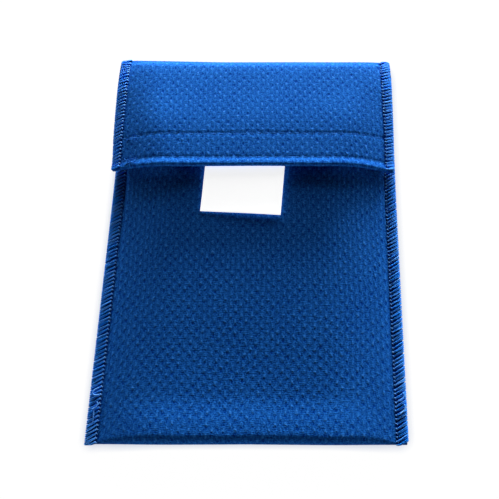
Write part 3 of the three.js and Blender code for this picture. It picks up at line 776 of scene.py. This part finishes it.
def make_edges():
    for side, word in ((-1, "left"), (1, "right")):
        seam, _ = overlocked_edge(f"{word}_side_overlock", body_edge(side), side * 2.4, f"{word}_side_seam")
        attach(seam, "outer_cover")

        ends = np.array([[side * HALF_WIDTH], [side * (HALF_WIDTH - SEAM_WIDTH)]])
        line, drift, join = back_line(ends)
        outer, inner = settle(line, drift=drift)[:, join - 4:]
        low = Edge(outer, inner, (0, 0, -1), (FLAP_LIP, FLAP_LIP))
        seam, v = overlocked_edge(f"{word}_fold_overlock_below", low, side * 1.2, f"top_fold_{word}_seam")
        start = low.along[4]
        unroll(seam, clamp((v - start) / (low.along[-1] - start)))

        # On the flap the edge wraps one layer, and two along the hem.
        line, join = flap_line(ends)
        outer, inner = settle_flap(line[:, :2 - HEM_LAYER - HEM_TURN])
        outer[:, 0] -= side * 0.25 * soft((HEM_RAW - outer[:, 1]) / 10)
        lift = soft((HEM_RAW + 2 - outer[:, 1]) / 2) * (PRESSED_CLOTH + GAP)
        high = Edge(outer, inner, (0, 1, 0), np.stack([np.full_like(lift, FLAP_LIP), FLAP_LIP + lift], -1))
        seam, v = overlocked_edge(f"{word}_flap_overlock", high, -side * 1.5, f"flap_{word}_seam")
        unroll(seam, clamp(v / high.along[join]))


# Sewing

HOLE_GAP, HOLE_DEPTH = 0.15, 0.12
HEM_STITCH = 3.0


def stitches(starts, ends, way, arch):
    """Dashes of thread between pairs of needle holes, arched over (1) or under (-1) the cloth."""
    share = np.array([0.0, 0.08, 0.3, 0.7, 0.92, 1.0])
    high = np.array([-HOLE_DEPTH, 0.6 * arch, arch, arch, 0.6 * arch, -HOLE_DEPTH])
    line = starts[:, None] + (ends - starts)[:, None] * share[None, :, None]
    line[..., 2] += way * high
    return line


def dashes(holes, gap, way, arch):
    """A row of stitches through a line of needle holes."""
    return stitches(holes[:-1] + gap, holes[1:] - gap, way, arch)


def flap_point(x, y, lift):
    return settle_flap(on_surface(flap_height, x, y, lift))


def hem_row(y):
    """One row of stitches across the flap's hem, with the small errors of hand guiding."""
    holes = np.arange(-53.5, 54.0, HEM_STITCH)
    wobble = y + 0.12 * np.sin(holes / 9) + chance.normal(0, 0.04, len(holes))
    starts = flap_point(holes[:-1] + HOLE_GAP, wobble[:-1], 0.02)
    ends = flap_point(holes[1:] - HOLE_GAP, wobble[1:], 0.02)
    return stitches(starts, ends, 1, 0.16)


def make_hem_sewing():
    groups = [(hem_row(y), 0.2, 0.25) for y in HEM_ROWS]
    # The loose ends at the left, where each row starts.
    low, high = HEM_ROWS
    t = np.linspace(0, 1, 12)
    for y, reach, curl in ((low, 5.5, 1.4), (low - 1.2, 4.2, -0.8), (high, 5.0, -1.6)):
        x = -48.5 - reach * (t - 0.45)
        wave = y + 0.5 * np.sin(4.4 * t + curl) + curl * t * t - 0.3
        groups.append((flap_point(x, wave, 0.75 + 0.2 * np.sin(5 * t))[None], 0.15, 0.5))
    piece = threads("hem_sewing", groups, SEWING_FINISH)
    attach(piece, "flap")


def make_loose_loops():
    """Thread ends left at the lower corners, where the overlocking was started and cut off."""
    t = np.linspace(0, 1, 14)
    shapes = []
    for x, y, reach, turns, size in (
        (-55.0, -61.0, 2.6, 1.1, 1.1), (-54.7, -63.4, -2.4, 0.9, 1.0), (-55.4, -66.0, -3.8, 0.3, 0.6),
        (55.4, -60.0, -3.2, 1.0, 1.0), (55.6, -64.0, -3.0, 0.8, 0.9),
    ):
        shapes.append(settle(points_of(
            x + size * np.sin(2 * np.pi * turns * t + 0.5),
            y + reach * t + 0.5 * size * np.cos(2 * np.pi * turns * t),
            SEAM_MID + 1.5 + 0.3 * np.sin(3 * t),
        )))
    piece = threads("loose_thread_ends", [(np.array(shapes), 0.22, 0.6)], THREAD_FINISH)
    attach(piece, "outer_cover")


# Hook and loop tapes

def on_loop_side(x, y, lift):
    """Points over the front of the body, where the loop tape is sewn."""
    return settle(points_of(x, y, front_height(x, y) + CLOTH / 2 + lift))


def on_hook_side(x, y, drop):
    """Points under the flap's hem, where the hook tape is sewn."""
    return settle_flap(points_of(x, y, flap_height(x, y) - 1.5 * CLOTH - GAP - drop))


def tape_ground(name, surface, side, node, body):
    """The tape's woven ground: a flat strip with round corners."""
    x = np.linspace(-TAPE_HALF, TAPE_HALF, 71)
    corner = 1.2 - np.sqrt(1.2 ** 2 - np.maximum(1.2 - (TAPE_HALF - np.abs(x)), 0) ** 2)
    spread = (TAPE_HIGH - TAPE_LOW) / 2 - corner
    y = (TAPE_LOW + TAPE_HIGH) / 2 + np.linspace(-1, 1, 13)[None] * spread[:, None]
    piece, _, _ = sheet_of_cloth(name, surface(x[:, None], y, 0.22), 0.34, side, TAPE_FINISH)
    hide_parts(node)
    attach(piece, body)


def tape_sewing(name, surface, side, body):
    """The stitches round a tape, just inside its edges."""
    low, high = TAPE_LOW + 0.9, TAPE_HIGH - 0.9
    lines = [(np.arange(-34.0, 34.1, 2.9), row, [HOLE_GAP, 0, 0]) for row in (low, high)]
    lines += [(end, np.arange(low, TAPE_HIGH - 0.8, 2.4), [0, 0.1, 0]) for end in (-34.0, 34.0)]
    groups = [(dashes(surface(x, y, 0.42), gap, side, 0.1), 0.14, 0.4) for x, y, gap in lines]
    piece = threads(name, groups, THREAD_FINISH)
    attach(piece, body)


def make_tapes():
    tape_ground("loop_tape_ground", on_loop_side, 1, "loop_tape", "outer_cover")
    tape_ground("hook_tape_ground", on_hook_side, -1, "hook_tape", "flap")
    # The hooks are drawn about twice as far apart as on a real tape, and so are the loops.
    x, y = np.meshgrid(np.arange(-33.6, 33.7, 1.5), np.arange(31.9, 39.3, 1.2), indexing="ij")
    hook = np.array([(0, 0), (0.0, 0.2), (0.08, 0.32), (0.3, 0.36), (0.42, 0.24)])
    strands = on_hook_side(x.reshape(-1, 1), y.reshape(-1, 1) + hook[:, 0], 0.38 + hook[:, 1])
    piece = threads("tape_hooks", [(strands, 0.08, 0.5)], NAVY_THREAD_FINISH)
    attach(piece, "flap")
    count = 900
    turn = chance.uniform(0, 2 * np.pi, (count, 1))
    wide = chance.uniform(0.3, 0.8, (count, 1))
    arch = np.linspace(0, np.pi, 6)
    strands = on_loop_side(
        chance.uniform(-34, 34, (count, 1)) + np.cos(turn) * wide * np.cos(arch),
        chance.uniform(31.6, 39.5, (count, 1)) + np.sin(turn) * wide * np.cos(arch),
        0.3 + 0.32 * np.sin(arch) * chance.uniform(0.5, 1, (count, 1)),
    )
    piece = threads("tape_loops", [(strands, 0.06, 0.5)], NAVY_THREAD_FINISH)
    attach(piece, "outer_cover")
    tape_sewing("loop_tape_sewing", on_loop_side, 1, "outer_cover")
    tape_sewing("hook_tape_sewing", on_hook_side, -1, "flap")


# Label tab

LABEL_HALF, LABEL_LONG, LABEL_THICK = 15.6, 21.3, 0.22


def make_label():
    """A bare strip of white satin tape, cut hot, so that its edges are crisp and curl a little."""
    x = np.linspace(-LABEL_HALF, LABEL_HALF, 65)[:, None]
    part = np.linspace(0, 1, 47)[None]
    down = part * LABEL_LONG
    tilt = np.radians(-3.6)
    across = x * np.cos(tilt) + down * np.sin(tilt) - 3.8
    along = 28.3 + x * np.sin(tilt) - down * np.cos(tilt)
    # It hangs from under the hem and comes to rest on the front.
    drop = soft((down - 1.3) / 19)
    rest = 11.15 + 0.5 * np.sin(x / 13 + 0.6) * part ** 2 + 0.35 * part ** 3
    height = mix(HEM_UNDER - 0.43 + HEM_CURL, rest, drop)
    line = settle(points_of(across, along, height))
    piece, _, _ = sheet_of_cloth("bare_label", line, LABEL_THICK, -1, LABEL_FINISH)
    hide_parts("label_tab")
    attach(piece, "flap")


# Inner pouch

POUCH_CLOTH = 0.4
POUCH_HALF, POUCH_FOOT, QUILT_HALF = 48.5, 45.0, 44.7
POUCH_BOTTOM, POUCH_MOUTH, POUCH_BOTTOM_FOOT = -69.5, 69.5, -66.0
POUCH_RAW_EDGE, POUCH_SEAM_WIDTH = 47.85, 3.2
QUILT_TOP = 64.7
CHANNELS = 5
CHANNEL_WIDTH = 2 * QUILT_HALF / CHANNELS
SEAM_HEIGHT = 2.85
STITCH_HALF, SWELL_HALF = 0.55, 1.0
BINDING_REACH, BINDING_TURN, BINDING_OFF = 4.5, 0.9, 1.02


def quilt_mid(layer):
    """The middle height of a quilted panel: it follows the cover and narrows to the pouch's seams."""
    def height(x, y):
        level = front_height(x, 0 * y) - 1.7 if layer > 0 else 2.1
        inside = rise(POUCH_FOOT - np.abs(x), 6) * rise(y - POUCH_BOTTOM_FOOT, 12)
        return mix(SEAM_HEIGHT + layer * 0.625, level, inside)
    return height


def quilt_half(x, y):
    """Half thickness of a quilted panel: thin at its stitch lines and swollen over the crystals."""
    place = (x + QUILT_HALF) / CHANNEL_WIDTH
    swell = np.where((place > 0) & (place < CHANNELS), np.abs(np.sin(np.pi * place)) ** 0.6, 0)
    ends = soft((y - POUCH_BOTTOM_FOOT) / 8) * soft((QUILT_TOP - y) / 8)
    grains = 1 + 0.05 * np.sin(x * 2.1 + 1.3 * np.sin(y * 1.1)) * np.sin(y * 1.9 + 1.1 * np.sin(x * 1.3))
    return mix(STITCH_HALF, SWELL_HALF, clamp(swell * grains) * ends)


def pouch_point(points):
    return settle(points, skew=0.0)


def put_in_pouch(piece, node):
    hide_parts(node)
    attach(piece, "inner_pouch")


def quilt_cloth(name, node, layer, face):
    x = np.linspace(-POUCH_RAW_EDGE, POUCH_RAW_EDGE, 121)[:, None]
    y = np.linspace(POUCH_BOTTOM + 0.65, POUCH_MOUTH - 0.65, 155)[None]
    offset = face * (quilt_half(x, y) - POUCH_CLOTH / 2)
    line = pouch_point(on_surface(quilt_mid(layer), x, y, offset))
    piece, _, _ = sheet_of_cloth(name, line, 0.36, face, POUCH_FINISH)
    put_in_pouch(piece, node)


def gel_pillow(name, node, layer, channel):
    """One channel's pillow of swollen crystals, lumpy where they press against the cloth."""
    start = -QUILT_HALF + channel * CHANNEL_WIDTH
    x = np.linspace(start + 1.8, start + CHANNEL_WIDTH - 1.8, 17)[:, None]
    y = np.linspace(-62.5, 60.5, 125)[None]
    lump = 0.07 * np.sin(x * 2.6 + 1.7 * np.sin(y * 0.9)) * np.sin(y * 2.3 + channel)
    swell = np.maximum(quilt_half(x, y) - POUCH_CLOTH - 0.16 - 0.08 + lump, 0.04)
    points, marks = [], []
    for side, grain_level in ((1, 0.0), (-1, 9.0)):
        points.append(pouch_point(on_surface(quilt_mid(layer), x, y, side * swell)).reshape(-1, 3))
        marks.append(points_of(x, y, grain_level).reshape(-1, 3))
    points, marks = np.concatenate(points), np.concatenate(marks)
    faces = closed_faces(points, *swell.shape, 1)
    piece = new_piece(name, points, faces, GEL_FINISH, "cloth_mm", marks)
    put_in_pouch(piece, node)


def mouth_binding(name, node, layer):
    """Binding tape folded round the mouth edge of one quilted panel."""
    x = np.linspace(-42.9, 42.9, 87)[:, None]
    angle = np.linspace(0, np.pi, 11)[1:-1]
    inward = np.concatenate([
        np.linspace(BINDING_REACH, BINDING_TURN, 7), BINDING_TURN - 0.72 * np.sin(angle),
        np.linspace(BINDING_TURN, BINDING_REACH, 7),
    ])
    height = np.concatenate([np.full(7, BINDING_OFF), BINDING_OFF * np.cos(angle), np.full(7, -BINDING_OFF)])
    line = pouch_point(on_surface(quilt_mid(layer), x, (POUCH_MOUTH - inward)[None], height[None]))
    piece, _, _ = sheet_of_cloth(name, line, 0.32, 1, BINDING_FINISH)
    put_in_pouch(piece, node)


def make_pouch_sewing():
    """The lines of stitches between the channels, and one along each binding, on both faces."""
    lines = [
        (k * CHANNEL_WIDTH - QUILT_HALF, np.arange(-64.5, 64.6, 3.1), [0, HOLE_GAP, 0], STITCH_HALF - 0.02)
        for k in range(1, CHANNELS)
    ]
    lines.append((np.arange(-42.0, 42.1, 3.0), POUCH_MOUTH - 3.8, [HOLE_GAP, 0, 0], 1.15))
    groups = []
    for layer in (1, -1):
        for x, y, gap, lift in lines:
            line = pouch_point(on_surface(quilt_mid(layer), x, y))
            for face in (1, -1):
                groups.append((dashes(line + [0, 0, face * lift], gap, face, 0.12), 0.13, 0.5))
    piece = threads("pouch_sewing", groups, NAVY_THREAD_FINISH)
    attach(piece, "inner_pouch")


def pouch_edge(word, outer, inward, slant):
    edge = Edge(pouch_point(outer), pouch_point(outer + inward), (0, 0, 1), (POUCH_LIP, POUCH_LIP))
    seam, _ = overlocked_edge(
        f"pouch_{word}_overlock", edge, slant, f"pouch_{word}_seam", width=POUCH_SEAM_WIDTH)
    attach(seam, "inner_pouch")


def make_pouch():
    for layer, word in ((1, "front"), (-1, "back")):
        quilt_cloth(f"pouch_{word}_outer_cloth", f"pouch_{word}_skin", layer, layer)
        quilt_cloth(f"pouch_{word}_inner_cloth", f"pouch_{word}_lining", layer, -layer)
        for channel in range(CHANNELS):
            gel_pillow(f"{word}_gel_pillow_{channel + 1}", f"{word}_gel_cell_{channel + 1}", layer, channel)
        mouth_binding(f"pouch_{word}_mouth_tape", f"pouch_{word}_binding", layer)
    make_pouch_sewing()
    y = np.arange(POUCH_BOTTOM, POUCH_MOUTH + 0.5, 0.5)
    for side, word in ((-1, "left"), (1, "right")):
        outer = points_of(side * POUCH_HALF, y, SEAM_HEIGHT)
        pouch_edge(word, outer, [-side * POUCH_SEAM_WIDTH, 0, 0], side * 1.5)
    x = np.arange(-QUILT_HALF, QUILT_HALF + 0.5, 0.5)
    pouch_edge("bottom", points_of(x, POUCH_BOTTOM, SEAM_HEIGHT), [0, POUCH_SEAM_WIDTH, 0], 1.5)


# Studio

TABLE_HALF = 3.0
# Each lamp's place, its width and height in metres, and its power in watts. Low windows behind the
# case rake over the weave; the fills before it and at its sides lift the overlocked edges.
LAMPS = (
    ("low_window", (0.18, 1.0, 0.105), (1.0, 0.11), 32.0),
    ("tall_window", (0.25, 0.9, 0.3), (1.2, 0.4), 7.4),
    ("low_front_fill", (-0.2, -1.0, 0.03), (1.2, 0.04), 3.1),
    ("low_left_fill", (-0.9, 0.7, 0.06), (0.8, 0.08), 4.6),
    ("left_edge_fill", (-1.0, -0.4, 0.04), (0.6, 0.06), 0.7),
    ("low_right_fill", (1.0, 0.1, 0.055), (1.0, 0.08), 2.1),
)


def seen_rays(material):
    """1 for what the camera sees directly, mirrored or through clear things, and 0 otherwise."""
    path = add_node(material, "LightPath").outputs
    seen = calculate(material, "MAXIMUM", path["Is Camera Ray"], path["Is Glossy Ray"])
    return calculate(material, "MAXIMUM", seen, path["Is Transmission Ray"])


def make_table():
    """A white table without an edge, which the camera sees as nearly pure white, with a painted shadow where
    the case lies on it.
    """
    made = new_finish("white_table")
    share = calculate(made, "MULTIPLY", seen_rays(made), 0.96)
    matt = add_node(made, "BsdfDiffuse", {"Color": (0.86, 0.86, 0.86, 1)}).outputs[0]
    # Painted shadow: the white is darkened and tinted blue within a few millimetres of the case, where it
    # lies on the table.
    open_share = add_node(made, "AmbientOcclusion", {"Distance": 0.004}, samples=16).outputs["AO"]
    glow = between(made, open_share, linear("#6f88b8"), (1, 1, 1, 1))
    white = add_node(made, "Emission", {"Color": glow, "Strength": 1.04}).outputs[0]
    close_finish(made, "MixShader", {0: share, 1: matt, 2: white})
    mesh = bpy.data.meshes.new("table_top")
    corners = [(TABLE_HALF * x, TABLE_HALF * y, 0) for x, y in ((-1, -1), (1, -1), (1, 1), (-1, 1))]
    mesh.from_pydata(corners, [], [(0, 1, 2, 3)])
    mesh.materials.append(made)
    put_in_scene("table_top", mesh)


def make_light():
    """A white room that the camera sees but that gives little light, and the lamps."""
    world = bpy.data.worlds.new("studio_light")
    world.use_nodes = True
    world.node_tree.nodes.clear()
    seen = seen_rays(world)
    room, white = [
        add_node(world, "Background", {"Color": colour, "Strength": strength}).outputs[0]
        for colour, strength in (((0.9, 0.95, 1, 1), 0.022), ((1, 1, 1, 1), 1.0))
    ]
    both = add_node(world, "MixShader", {0: seen, 1: room, 2: white}).outputs[0]
    add_node(world, "OutputWorld", {"Surface": both})
    bpy.context.scene.world = world

    for name, place, size, power in LAMPS:
        data = bpy.data.lights.new(name, "AREA")
        data.shape = "RECTANGLE"
        data.size, data.size_y = size
        data.energy = power
        lamp = put_in_scene(name, data)
        lamp.location = place
        lamp.rotation_euler = (Vector((0, 0, 0.01)) - Vector(place)).to_track_quat("-Z", "Y").to_euler()


def make_camera():
    """The photograph's camera, fitted to the case's corners, side edges and hem."""
    sensor, picture = 36, 499
    data = bpy.data.cameras.new("camera")
    data.sensor_width = sensor
    data.lens = sensor * 510 / picture
    data.shift_x = -15.2 / picture
    data.clip_start = 0.01
    camera = put_in_scene("camera", data)
    yaw, pitch, roll = np.radians([-0.88, 14.80, 0.72])
    turn = Matrix.Rotation(yaw, 4, "Z") @ Matrix.Rotation(pitch, 4, "X") @ Matrix.Rotation(roll, 4, "Z")
    camera.matrix_world = Matrix.Translation((0.0037, -0.0569, 0.1974)) @ turn
    bpy.context.scene.camera = camera


make_cover()
make_edges()
make_hem_sewing()
make_loose_loops()
make_tapes()
make_label()
make_pouch()
make_table()
make_light()
make_camera()
bpy.context.scene.view_settings.view_transform = "Standard"

bpy.context.view_layer.update()
